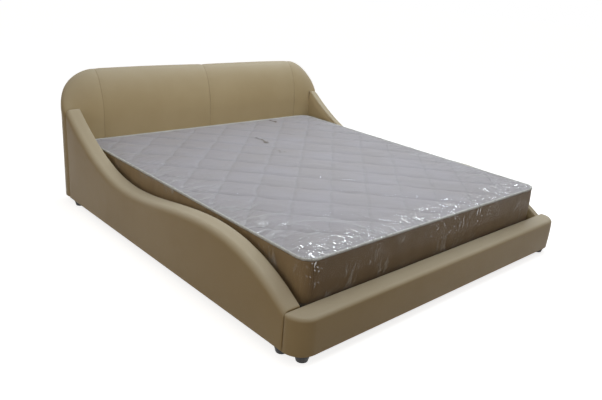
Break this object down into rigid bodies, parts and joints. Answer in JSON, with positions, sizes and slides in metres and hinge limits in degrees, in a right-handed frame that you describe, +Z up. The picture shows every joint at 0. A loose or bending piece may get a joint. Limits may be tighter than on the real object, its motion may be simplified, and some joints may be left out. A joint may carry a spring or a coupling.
{
  "type": "leather bed",
  "caption": "Low double bed with a rolled leather headboard, wave-topped padded side rails, a slatted base and a quilted mattress.",
  "frame": {"origin": "on the floor, under the middle of the bed's overall length and width", "axes": "+X to the right as seen from the foot of the bed, +Y from the foot towards the headboard, +Z up"},
  "size_m": [2.026, 2.242, 0.798],
  "materials": {
    "leather": "satin",
    "board": "matte",
    "back_cloth": "matte",
    "batten": "matte",
    "steel": "satin",
    "zinc": "satin",
    "slat": "satin",
    "plastic": "matte",
    "foam": "matte",
    "quilt": "matte",
    "border": "satin",
    "piping": "matte"
  },
  "bodies": {
    "bed_frame": {"corner_bracket_foot_left": "zinc", "corner_bracket_foot_right": "zinc", "corner_bracket_head_left": "zinc", "corner_bracket_head_right": "zinc", "foot_footboard_left": "plastic", "foot_footboard_right": "plastic", "foot_headboard_left": "plastic", "foot_headboard_right": "plastic", "foot_ledger": "batten", "foot_rail_front_left": "plastic", "foot_rail_front_right": "plastic", "foot_rail_rear_left": "plastic", "foot_rail_rear_right": "plastic", "footboard_board": "board", "footboard_cover": "leather", "head_ledger": "batten", "headboard_back_cloth": "back_cloth", "headboard_cover": "leather", "headboard_panel": "board", "side_ledger_left": "batten", "side_ledger_right": "batten", "side_rail_board_left": "board", "side_rail_board_right": "board", "side_rail_cover_left": "leather", "side_rail_cover_right": "leather"},
    "slat_base": {"centre_leg_1": "steel", "centre_leg_2": "steel", "centre_leg_3": "steel", "slat_frame": "steel", "slat_left_01": "slat", "slat_left_02": "slat", "slat_left_03": "slat", "slat_left_04": "slat", "slat_left_05": "slat", "slat_left_06": "slat", "slat_left_07": "slat", "slat_left_08": "slat", "slat_left_09": "slat", "slat_left_10": "slat", "slat_left_11": "slat", "slat_left_12": "slat", "slat_left_13": "slat", "slat_right_01": "slat", "slat_right_02": "slat", "slat_right_03": "slat", "slat_right_04": "slat", "slat_right_05": "slat", "slat_right_06": "slat", "slat_right_07": "slat", "slat_right_08": "slat", "slat_right_09": "slat", "slat_right_10": "slat", "slat_right_11": "slat", "slat_right_12": "slat", "slat_right_13": "slat"},
    "mattress": {"mattress_border": "border", "mattress_core": "foam", "mattress_piping_bottom": "piping", "mattress_piping_top": "piping", "mattress_quilted_top": "quilt"}
  },
  "joints": [
    {"name": "slat_base_lift", "type": "slide", "parent": "bed_frame", "child": "slat_base", "axis": [0, 0, 1], "range_m": [0, 0.6]},
    {"name": "mattress_lift", "type": "slide", "parent": "slat_base", "child": "mattress", "axis": [0, 0, 1], "range_m": [0, 0.65]}
  ]
}
